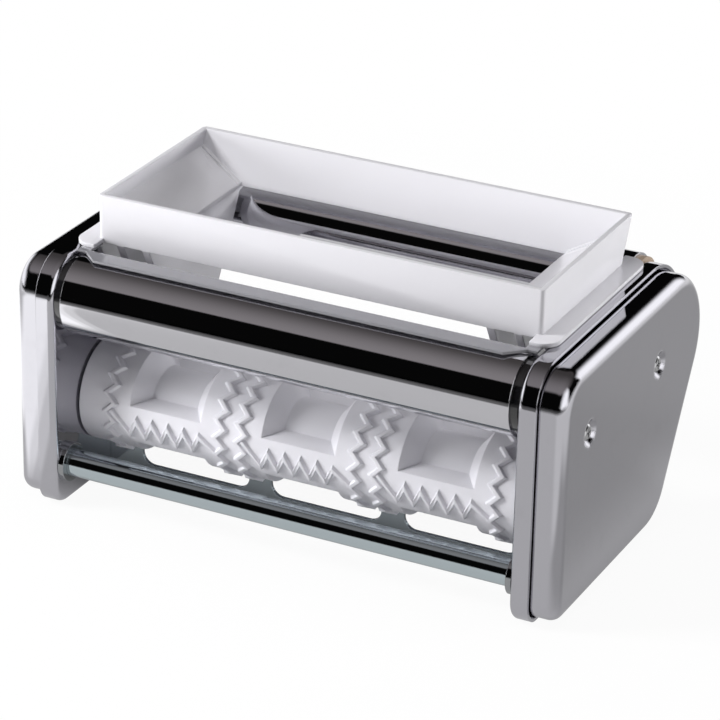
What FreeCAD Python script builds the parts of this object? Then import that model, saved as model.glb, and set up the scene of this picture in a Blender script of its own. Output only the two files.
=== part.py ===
import FreeCAD, Part
import math
import os
from FreeCAD import Vector

# Ravioli attachment: two moulding rollers geared one to one between chromed side frames, with two
# dough guide tubes above them and a lift-off hopper on top.
# Millimetres. X runs along the rollers, -Y is the front, +Z is up, and the origin is the middle of
# the footprint at the underside of the side frames. Lengths named *_in count from the front face.

# --- side frames and covers -------------------------------------------------------------------
frame_gap = 167.3          # clear width between the two side frames
plate_top = 89.4           # height of the side frames
web_gauge = 2.0            # flat sheet of a side frame
rim_gauge = 1.1            # drawn rim round a side frame
rim_run = 6.65             # how far the rim stands outwards from the inner face
plate_edge_r = 2.0         # rolled edge between web and rim
front_bottom_r = 8.0       # corner radii of the side outline
front_top_r = 14.0
rear_top_r = 27.0
rear_bottom_r = 20.5
rear_lean = 30.0           # degrees that the rear edge leans back from upright

rim_gap = 0.9              # shadow gap between rim and cover
cover_gauge = 1.2          # sheet of a cover
cover_run = 13.95          # depth of a cover, web to outer face
cover_edge_r = 4.25        # rounded outer edge of a cover
front_screw_in = 22.5      # cover screws, back from the front face
rear_screw_in = 80.2
cover_screw_z = 62.5
dimple_r = 4.75            # countersunk dimple round each cover screw
dimple_floor_r = 3.3
dimple_depth = 1.6
standoff_r = 4.0
cover_screw_r = 1.5
cover_screw_head_r = 2.8
cover_screw_head_h = 1.1
cover_screw_length = 9.0
recess_width = 0.7         # cross recess of the screws
recess_depth = 0.6

# --- fits -------------------------------------------------------------------------------------
running_fit = 0.06         # radial clearance of a shaft turning in its bush
seat_fit = 0.05            # radial clearance of a piece held in its hole
screw_fit = 0.15           # radial clearance of a screw in a plain hole
rest_gap = 0.1             # hopper flange over the side frames
nip_gap = 0.3              # between the ridge tips of the two rollers
end_float = 0.35           # between turning and standing flat faces

# --- moulding rollers -------------------------------------------------------------------------
nip_in = 52.35             # line where the rollers meet
roller_z = 32.8            # height of both roller axes
core_r = 18.1              # plain surface of a roller
roller_end_gap = 0.65      # roller end to side frame
column_pitch = 50.0        # ravioli columns across the roller
column_count = 3
cells_round = 2            # ravioli round one roller
cell_turn = 101.0          # degrees round from +Y to the middle of the upper row of cups

ridge_height = 1.2         # crimping ridges
ridge_top_w = 1.1
ridge_foot_w = 2.2
ridge_sink = 0.4           # how deep a ridge is rooted in the core
ring_offset = 21.0         # side rings from the middle of a column
ring_swing = 1.7           # half the zigzag of a side ring
ring_teeth = 18
ring_turn = 118.0          # degrees of the first tooth pointing to -X
row_pitch = 6.0            # teeth of the row between two cells
row_teeth = 5
row_shift = 1.4            # middle tooth from the middle of the column
row_swing = 8.5            # degrees, half the zigzag of a row
row_lead = 7.0             # degrees from the teeth back to the row's start on the left ring

cup_mouth_w = 27.2         # cup along the roller, at the surface
cup_floor_w = 17.2
cup_mouth_half = 66.0      # degrees from the middle of a cup to its end round the roller
cup_floor_half = 53.0
cup_depth = 6.1

# --- shafts, bushes and gears -----------------------------------------------------------------
shaft_r = 5.0
bush_wall = 2.0
bush_flange_r = 9.0
bush_flange_t = 1.5
socket_r = 6.4             # crank socket on the end of the driving shaft
socket_bore_r = 4.0
socket_depth = 11.0
socket_recess = 0.6        # socket mouth behind the face of the cover
socket_slot_w = 2.4        # cross slot for the crank's pin
socket_slot_d = 4.0
cover_hole_gap = 1.1       # round the socket
gear_teeth = 24
gear_width = 7.0
gear_addendum = 0.85       # in modules
gear_dedendum = 1.25
gear_backlash = 0.25
pressure_angle = 20.0
clip_t = 1.0
clip_r = 7.2
clip_groove = 0.7
clip_gap_w = 5.0
shaft_tail = 0.6           # shaft beyond its clip

# --- guide tubes ------------------------------------------------------------------------------
tube_r = 13.5
tube_wall = 1.2
tube_end_gap = 2.65        # end ring between tube and side frame
front_tube_inset = 0.1     # tube behind the front face
front_tube_crown = 0.9     # tube below the top of the side frames
rear_tube_inset = 6.0      # tube inside the rearmost point
rear_tube_crown = 0.5      # tube above the top of the side frames
plug_r = 12.6
plug_spigot = 7.0
tube_screw_r = 2.45
tube_screw_head_r = 4.4
tube_screw_head_h = 1.8
tube_screw_length = 8.0

# --- tie rods ---------------------------------------------------------------------------------
rod_r = 4.65
front_rod_in = 8.0
front_rod_z = 14.7
rear_rod_z = 12.1
nut_gear_gap = 0.8         # rear nut to the driven gear
nut_cover_gap = 0.7        # rear nut to the cover
rod_stud_r = 2.5
rod_stud_length = 6.6
collar_r = 6.8
collar_t = 2.0
nut_across = 7.0
nut_t = 4.0

# --- lower guides -----------------------------------------------------------------------------
guide_gauge = 1.2
guide_nip_gap = 15.0       # guide face from the line where the rollers meet
guide_foot = 1.0
guide_roller_gap = 1.0     # under the rollers
window_bottom = 4.5
pillar_w = 8.4             # between two windows
window_r = 4.5
guide_tab = 10.0
guide_screw_r = 1.5
guide_screw_head_r = 2.8
guide_screw_head_h = 1.3
guide_screw_z = 7.0

# --- hopper -----------------------------------------------------------------------------------
hopper_side_gap = 2.95     # rim inside the side frames
hopper_front_step = 11.5   # front wall behind the front tube's axis
hopper_rear_step = 4.0     # rim in front of the rear tube's axis
hopper_height = 16.75      # over the underside of its flange
hopper_wall = 1.9
hopper_corner_r = 1.5
hopper_rear_lean = 0.45    # rear wall, run back per rise
rear_foot_rise = 1.3       # foot of the rear wall over the underside of the flange
lip_height = 5.0           # upright lip inside the rim
throat_length = 122.6      # between the cheeks
throat_rise = 2.5          # foot of the end slopes over the underside of the flange
facet_foot_w = 11.3        # corner facet: foot, and where it stands off the rear wall
facet_foot_back = 1.7
facet_front_rise = 0.7
facet_rear_drop = 0.4
facet_head_back = 1.2
facet_head_drop = 0.65
flange_t = 1.5
flange_out = 6.6           # beyond the rim
flange_front_step = 5.4    # behind the front tube's axis
flange_rear_step = 4.5     # in front of the rear tube's axis
flange_r = 6.0
cheek_roller_gap = 1.2     # cheeks over the rollers
cheek_front_slope = 0.56   # run back per drop
cheek_rear_slope = 0.53
rib_count = 2              # ribs from each cheek out to the rim
rib_gauge = 2.9            # cheeks and ribs
rib_drop = 11.0
rib_length = 16.0

# --- dough strip ------------------------------------------------------------------------------
strip_t = 1.0
strip_gap = 0.3            # strip over the front tube
strip_front_step = 3.6     # in front of the tube's axis
strip_rear_step = 3.1      # behind the tube's axis
strip_bevel_from = 9.65    # bevelled corner, from the side frame
strip_bevel_to = 3.65
strip_ear_step = 2.0       # ears behind the tube's axis
strip_ear_gap = 0.2        # ears in front of the hopper's front wall and ribs
strip_ear_clear = 0.4      # strip ears to the side frames

# --- derived positions ------------------------------------------------------------------------
lean = math.radians(rear_lean)
tip_r = core_r + ridge_height
spacing = 2 * tip_r + nip_gap
module = spacing / gear_teeth
cover_inset = rim_gauge + rim_gap
nut_corner_r = nut_across / 2 / math.cos(math.pi / 6)
rod_reach = spacing / 2 + gear_addendum * module + nut_corner_r + nut_gear_gap
rear_rod_in = nip_in + spacing / 2 + math.sqrt(rod_reach ** 2 - (roller_z - rear_rod_z) ** 2)
rod_edge = cover_inset + cover_gauge + nut_corner_r + nut_cover_gap
arc_z = plate_top - rear_top_r
arc_in = (rear_rod_in + (rod_edge - rear_top_r) / math.cos(lean)
          + (arc_z - rear_rod_z) * math.tan(lean))
depth = arc_in + rear_top_r
front = -depth / 2
x_in = frame_gap / 2
x_web = x_in + web_gauge
x_rim = x_in + rim_run
x_face = x_web + cover_run
y_nip = front + nip_in
y_drive = y_nip - spacing / 2
y_driven = y_nip + spacing / 2
roller_half = x_in - roller_end_gap
columns = [(i - (column_count - 1) / 2) * column_pitch for i in range(column_count)]
bush_r = shaft_r + bush_wall
x_bush = x_web + bush_flange_t
x_gear = x_bush + end_float
x_clip = x_gear + gear_width
screw_seat = x_face - dimple_depth
flange_z = plate_top + rest_gap
window_w = column_pitch - pillar_w
guide_top = roller_z - tip_r - guide_roller_gap
y_front_tube = front + front_tube_inset + tube_r
y_rear_tube = depth / 2 - rear_tube_inset - tube_r
front_tube_z = plate_top - front_tube_crown - tube_r
rear_tube_z = plate_top + rear_tube_crown - tube_r
os.makedirs("parts", exist_ok=True)


# --- shape helpers ----------------------------------------------------------------------------
def rounded_wire(points, radii):
    """Closed planar wire through the points, each corner rounded to its own radius."""
    marks = []
    for i, (here, r) in enumerate(zip(points, radii)):
        back = (points[i - 1] - here).normalize()
        on = (points[(i + 1) % len(points)] - here).normalize()
        if r <= 0:
            marks.append((here, None, here))
            continue
        half = back.getAngle(on) / 2
        inwards = (back + on).normalize()
        nose = here + inwards * (r / math.sin(half) - r)
        reach = r / math.tan(half)
        marks.append((here + back * reach, nose, here + on * reach))
    edges = []
    for i, (start, nose, end) in enumerate(marks):
        if nose:
            edges.append(Part.Arc(start, nose, end).toShape())
        following = marks[(i + 1) % len(marks)][0]
        if (following - end).Length > 1e-6:
            edges.append(Part.LineSegment(end, following).toShape())
    return Part.Wire(edges)


def prism(points, travel, radii=None):
    """Straight extrusion of a flat outline."""
    wire = rounded_wire(points, radii or [0] * len(points))
    return Part.Face(wire).extrude(travel)


def slab(y_z, x0, x1, radii=None):
    """Side outline given as (y, z) pairs, extruded from x0 to x1."""
    return prism([Vector(x0, y, z) for y, z in y_z], Vector(x1 - x0, 0, 0), radii)


def bar(x0, x1, y, z, r):
    """Round bar along X."""
    return Part.makeCylinder(r, x1 - x0, Vector(x0, y, z), Vector(1, 0, 0))


def turned(x_r, y, z):
    """Solid of revolution about an X axis from (x, radius) pairs."""
    wire = Part.makePolygon([Vector(x, y, z + r) for x, r in x_r + x_r[:1]])
    return Part.Face(wire).revolve(Vector(0, y, z), Vector(1, 0, 0), 360)


def box(x0, x1, y0, y1, z0, z1):
    return Part.makeBox(x1 - x0, y1 - y0, z1 - z0, Vector(x0, y0, z0))


def left(shape):
    """The other hand of a right-hand piece."""
    return shape.mirror(Vector(0, 0, 0), Vector(1, 0, 0))


def edges_at_x(shape, x):
    return [e for e in shape.Edges if all(abs(v.X - x) < 1e-6 for v in e.Vertexes)
            and abs(e.BoundBox.XMax - e.BoundBox.XMin) < 1e-5]


def save(name, *solids):
    shape = solids[0] if len(solids) == 1 else Part.makeCompound(solids)
    shape.exportStep(f"parts/{name}.step")


# --- side frames ------------------------------------------------------------------------------
def side_outline(inset):
    """Corners and radii of the side outline, drawn inset mm inside the edge of the frame."""
    r = rear_top_r - inset
    touch_y = front + arc_in + r * math.cos(lean)
    touch_z = arc_z - r * math.sin(lean)
    low, high = inset, plate_top - inset
    corners = [(front + inset, low), (touch_y - (touch_z - low) * math.tan(lean), low),
               (touch_y + (high - touch_z) * math.tan(lean), high), (front + inset, high)]
    return corners, [front_bottom_r - inset, rear_bottom_r - inset, r, front_top_r - inset]


def side_block(inset, x0, x1):
    corners, radii = side_outline(inset)
    return slab(corners, x0, x1, radii)


rod_places = [(front + front_rod_in, front_rod_z), (front + rear_rod_in, rear_rod_z)]
tube_places = [(y_front_tube, front_tube_z), (y_rear_tube, rear_tube_z)]
shaft_places = [(y_drive, roller_z), (y_driven, roller_z)]
screw_places = [(front + back, cover_screw_z) for back in (front_screw_in, rear_screw_in)]
guide_y = (y_nip - guide_nip_gap - guide_gauge / 2, y_nip + guide_nip_gap + guide_gauge / 2)
guide_screw_places = [(guide_y[0] + guide_tab / 2, guide_screw_z),
                      (guide_y[1] - guide_tab / 2, guide_screw_z)]

tray = side_block(0, x_in, x_rim)
tray = tray.makeFillet(plate_edge_r, edges_at_x(tray, x_in))
plate = tray.cut(side_block(rim_gauge, x_web, x_rim + 1))
holes = [bar(x_in - 1, x_web + 1, y, z, bush_r + seat_fit) for y, z in shaft_places]
holes += [bar(x_in - 1, x_web + 1, y, z, tube_screw_r + screw_fit) for y, z in tube_places]
holes += [bar(x_in - 1, x_web + 1, y, z, rod_stud_r + screw_fit) for y, z in rod_places]
holes += [bar(x_in - 1, x_web + 1, y, z, guide_screw_r + screw_fit)
          for y, z in guide_screw_places]
plate = plate.cut(holes)
save("right_frame_plate", plate)
save("left_frame_plate", left(plate))

# --- covers -----------------------------------------------------------------------------------
cap = side_block(cover_inset, x_web, x_face)
cap = cap.makeFillet(cover_edge_r, edges_at_x(cap, x_face))
hollow = side_block(cover_inset + cover_gauge, x_web - 1, x_face - cover_gauge)
hollow = hollow.makeFillet(cover_edge_r - cover_gauge, edges_at_x(hollow, x_face - cover_gauge))
cover = cap.cut(hollow)
for y, z in screw_places:
    cover = cover.fuse(turned([(screw_seat - cover_gauge, 0), (screw_seat - cover_gauge,
                               dimple_floor_r + cover_gauge), (x_face - cover_gauge / 2,
                               dimple_r + cover_gauge), (x_face - cover_gauge / 2, 0)], y, z))
    cover = cover.cut(turned([(screw_seat, 0), (screw_seat, dimple_floor_r), (x_face, dimple_r),
                              (x_face + 1, dimple_r), (x_face + 1, 0)], y, z))
    cover = cover.cut(bar(x_web, x_face + 1, y, z, cover_screw_r + screw_fit))
save("right_cover", cover)
crank_hole = bar(-x_face - 1, -x_web, y_drive, roller_z, socket_r + cover_hole_gap)
save("left_cover", left(cover).cut(crank_hole))


def screw(x_seat, y, z, r, head_r, head_h, length):
    """Cross-head screw along X with its head outwards."""
    body = turned([(x_seat - length, 0), (x_seat - length, r), (x_seat, r), (x_seat, head_r),
                   (x_seat + head_h * 0.6, head_r), (x_seat + head_h, head_r * 0.75),
                   (x_seat + head_h, 0)], y, z)
    reach, deep = head_r * 0.6, x_seat + head_h - recess_depth
    half = recess_width / 2
    return body.cut([box(deep, deep + 2, y - reach, y + reach, z - half, z + half),
                     box(deep, deep + 2, y - half, y + half, z - reach, z + reach)])


cover_screws = [screw(screw_seat, y, z, cover_screw_r, cover_screw_head_r, cover_screw_head_h,
                      cover_screw_length) for y, z in screw_places]
save("right_cover_screws", *cover_screws)
save("left_cover_screws", *[left(s) for s in cover_screws])

standoff_top = screw_seat - cover_gauge
standoffs = [bar(x_web, standoff_top, y, z, standoff_r).cut(
             bar(screw_seat - cover_screw_length - 1, x_face, y, z, cover_screw_r + seat_fit))
             for y, z in screw_places]
save("right_standoffs", *standoffs)
save("left_standoffs", *[left(s) for s in standoffs])

# --- guide tubes with their end rings and screws ----------------------------------------------
tube_half = x_in - tube_end_gap
tube_bore_r = tube_r - tube_wall
tube_screws = []
for name, (y, z) in zip(("front", "rear"), tube_places):
    pipe = bar(-tube_half, tube_half, y, z, tube_r).cut(
        bar(-tube_half - 1, tube_half + 1, y, z, tube_bore_r))
    save(f"{name}_guide_tube", pipe)
    spigot_r = tube_bore_r - seat_fit
    plug = turned([(tube_half - plug_spigot, tube_screw_r + seat_fit), (x_in, tube_screw_r
                   + seat_fit), (x_in, plug_r), (tube_half, plug_r), (tube_half, spigot_r),
                   (tube_half - plug_spigot, spigot_r)], y, z)
    save(f"{name}_tube_rings", left(plug), plug)
    tube_screws.append(screw(x_web, y, z, tube_screw_r, tube_screw_head_r, tube_screw_head_h,
                             tube_screw_length))
save("tube_screws", *tube_screws, *[left(s) for s in tube_screws])

# --- tie rods with collars and nuts -----------------------------------------------------------
collars, nuts = [], []
for name, (y, z) in zip(("front", "rear"), rod_places):
    stud_end = x_web + rod_stud_length - web_gauge
    save(f"{name}_tie_rod", turned([(-stud_end, 0), (-stud_end, rod_stud_r), (-x_in, rod_stud_r),
         (-x_in, rod_r), (x_in, rod_r), (x_in, rod_stud_r), (stud_end, rod_stud_r),
         (stud_end, 0)], y, z))
    ring = bar(x_in - collar_t, x_in, y, z, collar_r).cut(
        bar(x_in - collar_t - 1, x_in + 1, y, z, rod_r + seat_fit))
    collars += [ring, left(ring)]
    hexagon = [(y + nut_corner_r * math.cos(math.radians(a)),
                z + nut_corner_r * math.sin(math.radians(a))) for a in range(30, 390, 60)]
    nut = slab(hexagon, x_web, x_web + nut_t).cut(
        bar(x_web - 1, x_web + nut_t + 1, y, z, rod_stud_r + seat_fit))
    nuts += [nut, left(nut)]
save("tie_rod_collars", *collars)
save("tie_rod_nuts", *nuts)

# --- lower guides: combs of sheet under the rollers, one window to each column ----------------
window_ends = [(x - window_w / 2, x + window_w / 2) for x in columns]
guide_screws = []
for name, y, towards in (("front", guide_y[0], 1), ("rear", guide_y[1], -1)):
    y0, y1 = y - guide_gauge / 2, y + guide_gauge / 2
    comb = box(-x_in, x_in, y0, y1, guide_foot, guide_top)
    for x0, x1 in window_ends:
        corners = [Vector(x0, y0 - 1, window_bottom), Vector(x1, y0 - 1, window_bottom),
                   Vector(x1, y0 - 1, guide_top + 1), Vector(x0, y0 - 1, guide_top + 1)]
        comb = comb.cut(prism(corners, Vector(0, guide_gauge + 2, 0), [window_r, window_r, 0, 0]))
    tab_y = sorted((y0 if towards > 0 else y1, y + towards * guide_tab))
    tab = box(x_in - guide_gauge, x_in, tab_y[0], tab_y[1], guide_foot, guide_top)
    place = guide_screw_places[0] if towards > 0 else guide_screw_places[1]
    tab = tab.cut(bar(x_in - 5, x_in + 1, *place, guide_screw_r + seat_fit))
    save(f"{name}_lower_guide", comb.fuse([tab, left(tab)]).removeSplitter())
    guide_screws.append(screw(x_web, *place, guide_screw_r, guide_screw_head_r,
                              guide_screw_head_h, web_gauge + guide_gauge + 1))
save("lower_guide_screws", *guide_screws, *[left(s) for s in guide_screws])


# --- moulding rollers -------------------------------------------------------------------------
def offset_path(path, shift, closed):
    """Mitred parallel to a path of (x, arc length) points, shift mm to its left."""
    moved, last = [], len(path) - 1
    for i, (x, s) in enumerate(path):
        normals = []
        for a, b in ((i - 1, i), (i, i + 1)):
            if not closed and (a < 0 or b > last):
                continue
            (xa, sa), (xb, sb) = path[a], path[b % len(path)]
            if closed and a == -1:
                sa -= 2 * math.pi * core_r
            if closed and b > last:
                sb += 2 * math.pi * core_r
            run = math.hypot(xb - xa, sb - sa)
            normals.append((-(sb - sa) / run, (xb - xa) / run))
        nx, ns = (sum(part) / len(normals) for part in zip(*normals))
        scale = shift / (nx * nx + ns * ns)
        moved.append((x + nx * scale, s + ns * scale))
    return moved


def on_roller(x, s, r):
    """Point at radius r over the unrolled place (x, s) of the driving roller."""
    turn = s / core_r
    return Vector(x, y_drive + r * math.cos(turn), roller_z + r * math.sin(turn))


def patch(a, b, c, d):
    """One flat quad, or two triangles where its corners don't lie flat."""
    normal = (b - a).cross(c - a).normalize()
    if abs(normal.dot(d - a)) < 1e-7:
        return [Part.Face(Part.makePolygon([a, b, c, d, a]))]
    return [Part.Face(Part.makePolygon([a, b, c, a])), Part.Face(Part.makePolygon([a, c, d, a]))]


def ridge(path, closed):
    """Crimping ridge with a flat top and sloping sides along an unrolled path."""
    deep = core_r - ridge_sink
    foot_w = ridge_foot_w + (ridge_foot_w - ridge_top_w) * ridge_sink / ridge_height
    rails = [[on_roller(x, s, r) for x, s in offset_path(path, shift, closed)]
             for shift, r in ((foot_w / 2, deep), (ridge_top_w / 2, tip_r),
                              (-ridge_top_w / 2, tip_r), (-foot_w / 2, deep))]
    faces, count = [], len(path)
    for i in range(count if closed else count - 1):
        j = (i + 1) % count
        for k in range(4):
            one, two = rails[k], rails[(k + 1) % 4]
            faces += patch(one[i], one[j], two[j], two[i])
    if not closed:
        for i in (0, count - 1):
            faces += patch(*[rail[i] for rail in rails])
    solid = Part.Solid(Part.Shell(faces))
    if solid.Volume < 0:
        solid.reverse()
    return solid


def unrolled(degrees):
    return math.radians(degrees) * core_r


ridges = []
half_tooth = 180.0 / ring_teeth
for middle in columns:
    for side in (-1, 1):
        ring = [(middle + side * ring_offset + (ring_swing if i % 2 else -ring_swing),
                 unrolled(ring_turn + i * half_tooth)) for i in range(2 * ring_teeth)]
        ridges.append(ridge(ring, True))
    first = middle + row_shift - (row_teeth - 1) / 2 * row_pitch
    for cell in range(cells_round):
        between = cell_turn + (cell + 0.5) * 360.0 / cells_round
        near, far = unrolled(between - row_swing), unrolled(between + row_swing)
        row = [(middle - ring_offset + ridge_foot_w / 4,
                unrolled(between - row_swing - row_lead)), (first - row_pitch / 2, far)]
        for i in range(row_teeth):
            row.append((first + i * row_pitch, near))
            if i < row_teeth - 1:
                row.append((first + (i + 0.5) * row_pitch, far))
        row.append((middle + ring_offset - ring_swing / 2, far))
        ridges.append(ridge(row, False))
core = bar(-roller_half, roller_half, y_drive, roller_z, core_r)
floor_r = core_r - cup_depth
mouth_half, floor_half = math.radians(cup_mouth_half), math.radians(cup_floor_half)
floor_y, floor_z = floor_r * math.sin(floor_half), floor_r * math.cos(floor_half)
mouth_y, mouth_z = core_r * math.sin(mouth_half), core_r * math.cos(mouth_half)
flare = (cup_mouth_w - cup_floor_w) / 2 / cup_depth
cups = []
for middle in columns:
    over = 2.0
    band = turned([(middle - cup_floor_w / 2, floor_r), (middle + cup_floor_w / 2, floor_r),
                   (middle + cup_mouth_w / 2 + flare * over, core_r + over),
                   (middle - cup_mouth_w / 2 - flare * over, core_r + over)],
                  y_drive, roller_z)
    for cell in range(cells_round):
        wide = core_r + over + 1
        end_z = floor_z + (mouth_z - floor_z) * (wide - floor_y) / (mouth_y - floor_y)
        half_wedge = [(floor_y, floor_z), (wide, end_z), (wide, wide)]
        wedge = slab([(y_drive + y, roller_z + z) for y, z in half_wedge]
                     + [(y_drive - y, roller_z + z) for y, z in half_wedge[::-1]],
                     middle - cup_mouth_w, middle + cup_mouth_w)
        wedge.rotate(Vector(0, y_drive, roller_z), Vector(1, 0, 0),
                     cell_turn + cell * 360.0 / cells_round - 90.0)
        cups.append(band.common(wedge))
shaft_bore = bar(-roller_half - 1, roller_half + 1, y_drive, roller_z, shaft_r + seat_fit)
front_roller = core.cut(cups + [shaft_bore]).fuse(ridges)
rear_roller = front_roller.mirror(Vector(0, y_nip, 0), Vector(0, 1, 0))
save("front_mould_roller", front_roller)
save("rear_mould_roller", rear_roller)

# --- shafts and bushes ------------------------------------------------------------------------
x_socket = x_bush + end_float
x_mouth = x_face - socket_recess
tail = x_clip + clip_t + shaft_tail
groove_r = shaft_r - clip_groove


def grooved(y, x):
    """Ring cut for a retaining clip."""
    return bar(x, x + clip_t, y, roller_z, shaft_r + 1).cut(
        bar(x, x + clip_t, y, roller_z, groove_r))


drive = turned([(-x_mouth, 0), (-x_mouth, socket_r), (-x_socket, socket_r), (-x_socket, shaft_r),
                (tail, shaft_r), (tail, 0)], y_drive, roller_z)
slot_half = socket_slot_w / 2
drive = drive.cut([bar(-x_mouth - 1, -x_mouth + socket_depth, y_drive, roller_z, socket_bore_r),
                   box(-x_mouth - 1, -x_mouth + socket_slot_d, y_drive - 10, y_drive + 10,
                       roller_z - slot_half, roller_z + slot_half), grooved(y_drive, x_clip)])
save("drive_shaft", drive)
driven = bar(-x_bush - end_float - clip_t - shaft_tail, tail, y_driven, roller_z, shaft_r)
driven = driven.cut([grooved(y_driven, x_clip),
                     grooved(y_driven, -x_bush - end_float - clip_t)])
save("driven_shaft", driven)


def clip(y, x):
    """Retaining clip: an open ring in its groove."""
    ring = bar(x, x + clip_t, y, roller_z, clip_r).cut(
        bar(x - 1, x + clip_t + 1, y, roller_z, groove_r + seat_fit))
    return ring.cut(box(x - 1, x + clip_t + 1, y - clip_gap_w / 2, y + clip_gap_w / 2,
                        roller_z - clip_r - 1, roller_z))


save("drive_shaft_clip", clip(y_drive, x_clip))
save("driven_shaft_clips", clip(y_driven, x_clip),
     clip(y_driven, -x_bush - end_float - clip_t))
bushes = [turned([(x_in, shaft_r + running_fit), (x_bush, shaft_r + running_fit),
                  (x_bush, bush_flange_r), (x_web, bush_flange_r), (x_web, bush_r),
                  (x_in, bush_r)], y, z) for y, z in shaft_places]
save("right_bushes", *bushes)
save("left_bushes", *[left(b) for b in bushes])

# --- gears ------------------------------------------------------------------------------------
def gear(y, phase):
    """Spur gear on the shaft at y, phase degrees from +Y to the middle of a tooth."""
    pitch_r = spacing / 2
    base_r = pitch_r * math.cos(math.radians(pressure_angle))

    def involute(r):
        angle = math.acos(min(1.0, base_r / r))
        return math.tan(angle) - angle

    points = []
    for tooth in range(gear_teeth):
        middle = math.radians(phase + tooth * 360.0 / gear_teeth)
        flank = []
        for r in (pitch_r - gear_dedendum * module, pitch_r, pitch_r + gear_addendum * module):
            half = (math.pi / 2 / gear_teeth - gear_backlash / 2 / pitch_r
                    + involute(pitch_r) - involute(max(r, base_r)))
            flank.append((r, half))
        for r, half in [(r, -h) for r, h in flank] + flank[::-1]:
            points.append((y + r * math.cos(middle + half), roller_z + r * math.sin(middle + half)))
    return slab(points, x_gear, x_gear + gear_width).cut(
        bar(x_gear - 1, x_gear + gear_width + 1, y, roller_z, shaft_r + seat_fit))


save("drive_gear", gear(y_drive, 0.0))
save("driven_gear", gear(y_driven, 180.0 + 180.0 / gear_teeth))

# --- hopper -----------------------------------------------------------------------------------
rim_x = x_in - hopper_side_gap
y_front = y_front_tube + hopper_front_step
y_rim = y_rear_tube - hopper_rear_step
hopper_top = flange_z + hopper_height
lip_z = hopper_top - lip_height
throat_z = flange_z + throat_rise
lean_wall = hopper_wall * math.hypot(1, hopper_rear_lean)


def rear_y(z):
    """Outer face of the leaning rear wall."""
    return y_rim - (hopper_top - z) * hopper_rear_lean


shell = slab([(y_front, flange_z), (y_front, hopper_top), (y_rim, hopper_top),
              (rear_y(flange_z), flange_z)], -rim_x, rim_x)
upright = [e for e in shell.Edges if abs(e.BoundBox.XMax - e.BoundBox.XMin) < 1e-6
           and e.BoundBox.ZMax - e.BoundBox.ZMin > 10]
shell = shell.makeFillet(hopper_corner_r, upright)
flange_y = (y_front_tube + flange_front_step, y_rear_tube - flange_rear_step)
ear = prism([Vector(x, y, flange_z) for x, y in (
    (rim_x - hopper_wall, flange_y[0]), (rim_x + flange_out, flange_y[0]),
    (rim_x + flange_out, flange_y[1]), (rim_x - hopper_wall, flange_y[1]))],
    Vector(0, 0, flange_t), [0, flange_r, flange_r, 0])

inner_x = rim_x - hopper_wall
throat_x = throat_length / 2
inner_front = y_front + hopper_wall
slope = (lip_z - throat_z) / (inner_x - throat_x)
under = hopper_wall * math.hypot(1, slope)
cheek_x = throat_x + rib_gauge
pocket = [Vector(inner_x, inner_front, flange_z - 1),
          Vector(inner_x, inner_front, lip_z - under),
          Vector(cheek_x, inner_front, throat_z + (cheek_x - throat_x) * slope - under),
          Vector(cheek_x, inner_front, flange_z - 1)]
pocket = prism(pocket, Vector(0, rear_y(flange_z) - lean_wall - inner_front, 0))
hopper = shell.cut([pocket, left(pocket)]).fuse([ear, left(ear)])

cheek_bottom = roller_z + tip_r + cheek_roller_gap
cheek_rear = rear_y(flange_z) - lean_wall
cheek = [(y_front, throat_z), (y_front, flange_z),
         (y_front + (flange_z - cheek_bottom) * cheek_front_slope, cheek_bottom),
         (cheek_rear - (flange_z - cheek_bottom) * cheek_rear_slope, cheek_bottom),
         (cheek_rear, flange_z), (rear_y(throat_z) - lean_wall, throat_z)]
ribs = [slab(cheek, throat_x, cheek_x)]
rib_bottom = flange_z - rib_drop
for i in range(1, rib_count + 1):
    x = throat_x + i * (rim_x - throat_x) / rib_count
    foot = y_front + rib_drop * cheek_front_slope
    under_slope = x + rib_gauge < rim_x
    rib_top = throat_z + (x - throat_x) * slope if under_slope else flange_z + flange_t / 2
    ribs.append(slab([(y_front, rib_top), (y_front, flange_z), (foot, rib_bottom),
                      (foot + rib_length, rib_bottom), (foot + rib_length, rib_top)],
                     x, x + (rib_gauge if under_slope else hopper_wall)))
hopper = hopper.fuse(ribs + [left(r) for r in ribs])

rear_inner = [(inner_front, lip_z), (inner_front, hopper_top + 1),
              (rear_y(hopper_top + 1) - lean_wall, hopper_top + 1),
              (rear_y(lip_z) - lean_wall, lip_z)]
mouth = slab(rear_inner, -inner_x, inner_x)
funnel = prism([Vector(x, inner_front, z) for x, z in (
    (-throat_x, flange_z - 1), (throat_x, flange_z - 1), (throat_x, throat_z), (inner_x, lip_z),
    (inner_x, lip_z + 1), (-inner_x, lip_z + 1), (-inner_x, lip_z), (-throat_x, throat_z))],
    Vector(0, depth, 0))
funnel = funnel.common(slab([(inner_front, flange_z - 1), (inner_front, lip_z + 1),
                             (rear_y(lip_z + 1) - lean_wall, lip_z + 1),
                             (rear_y(flange_z - 1) - lean_wall, flange_z - 1)],
                            -rim_x, rim_x))
foot_y = rear_y(throat_z) - lean_wall - facet_foot_back
low = [Vector(throat_x, foot_y - facet_foot_w, throat_z + facet_front_rise),
       Vector(throat_x, foot_y, throat_z - facet_rear_drop)]
head = Vector(inner_x, rear_y(lip_z) - lean_wall - facet_head_back, lip_z - facet_head_drop)
hopper = hopper.cut([mouth, funnel])
lifted = Vector(0, 0, 3)
corner = Part.Solid(Part.Shell(
    [Part.Face(Part.makePolygon([low[0], low[1], head, low[0]])),
     Part.Face(Part.makePolygon([p + lifted for p in (low[0], low[1], head, low[0])]))]
    + patch(low[0], low[1], low[1] + lifted, low[0] + lifted)
    + patch(low[1], head, head + lifted, low[1] + lifted)
    + patch(head, low[0], low[0] + lifted, head + lifted)))
if corner.Volume < 0:
    corner.reverse()
foot_cut = box(-throat_x, throat_x, cheek_rear - hopper_wall, depth / 2, flange_z - 1,
               flange_z + rear_foot_rise)
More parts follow.
